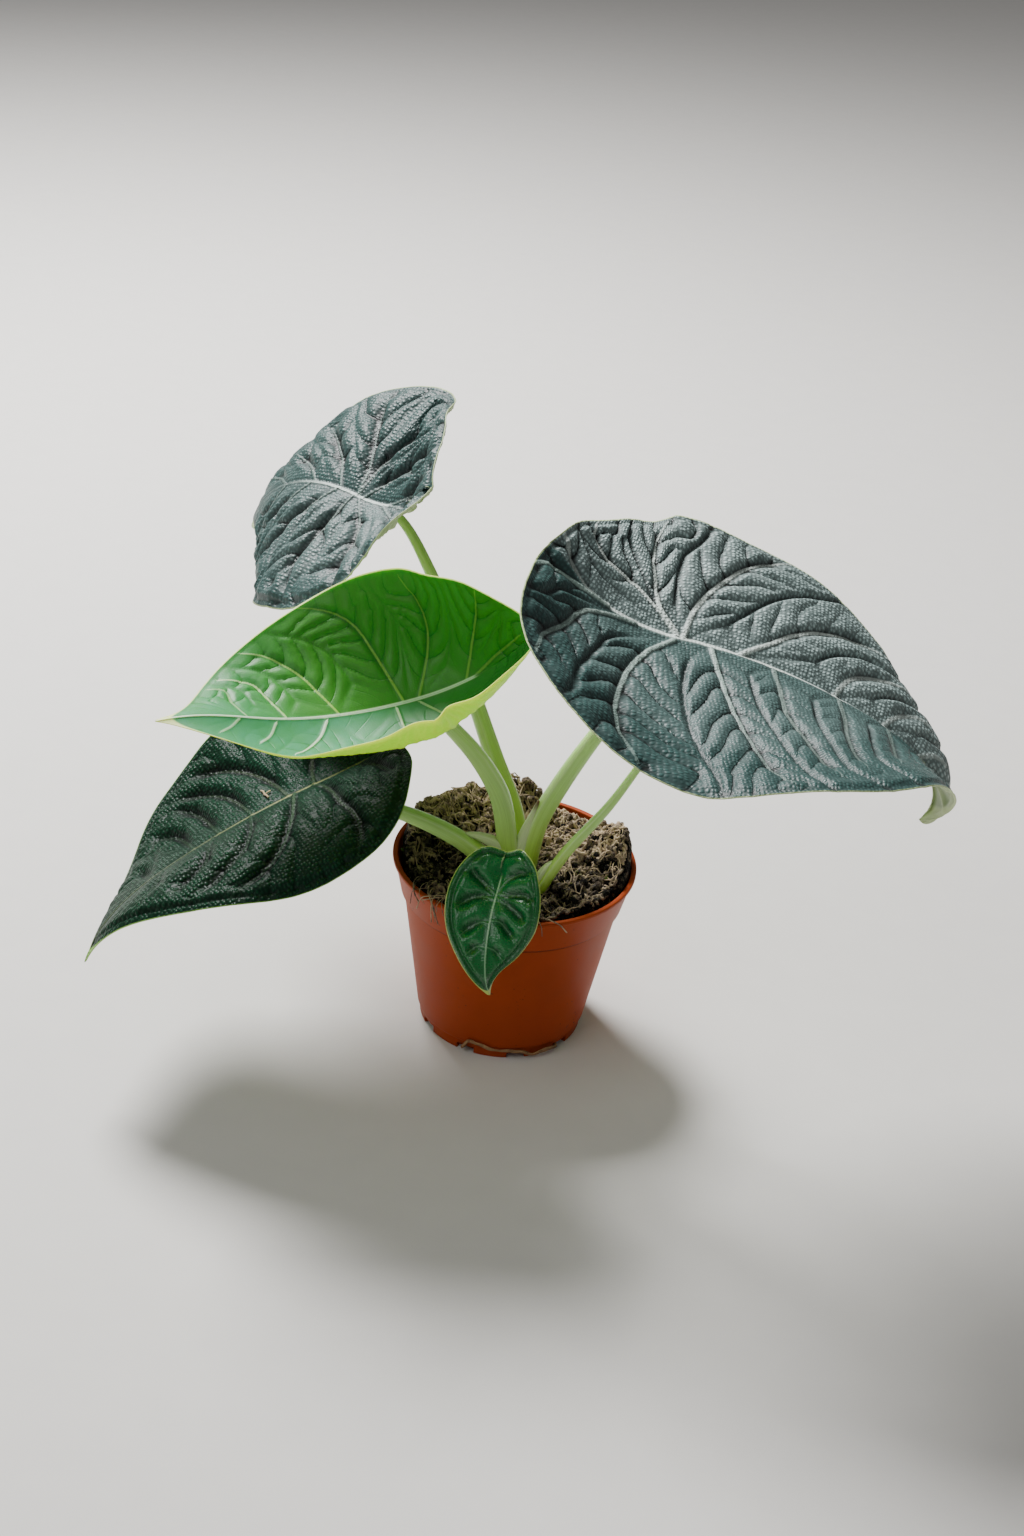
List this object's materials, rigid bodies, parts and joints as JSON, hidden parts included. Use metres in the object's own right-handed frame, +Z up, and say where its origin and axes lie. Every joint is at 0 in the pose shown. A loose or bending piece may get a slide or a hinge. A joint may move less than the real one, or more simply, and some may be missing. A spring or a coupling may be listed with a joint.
{
  "type": "potted maharani alocasia",
  "caption": "Small foliage plant with broad, deeply ribbed grey-green peltate leaves on pale petioles, standing in a tapered plastic nursery pot filled with dark lumpy soil.",
  "frame": {"origin": "centre of the flat underside of the pot", "axes": "+Z up, +X towards the side of the large grey leaf, -Y towards the small front leaf, which is the front of the plant"},
  "size_m": [0.348, 0.2666, 0.2466],
  "materials": {
    "leaf_grey": "matte, silvery grey-green, finely puckered",
    "leaf_dark": "satin, very dark green",
    "leaf_bright": "satin, young bright green, thin and translucent",
    "leaf_small": "glossy deep green",
    "petiole": "smooth, fleshy, pale green",
    "sheath": "pale, thin, slightly dry skin",
    "crown": "fleshy stem base with leaf scars",
    "soil": "moist coir and peat, crumbly, with tan fibres",
    "pot_plastic": "satin moulded polypropylene, terracotta colour",
    "root": "dry brown root"
  },
  "bodies": {
    "root": {"blade_right": "leaf_grey", "blade_back": "leaf_grey", "blade_centre": "leaf_bright", "blade_left": "leaf_dark", "blade_front": "leaf_small", "blade_hidden": "leaf_small", "petiole_right": "petiole", "petiole_back": "petiole", "petiole_centre": "petiole", "petiole_left": "petiole", "petiole_front": "petiole", "petiole_thin": "petiole", "new_sheath": "sheath", "crown": "crown", "soil": "soil", "pot": "pot_plastic", "root_strand": "root"}
  },
  "joints": []
}
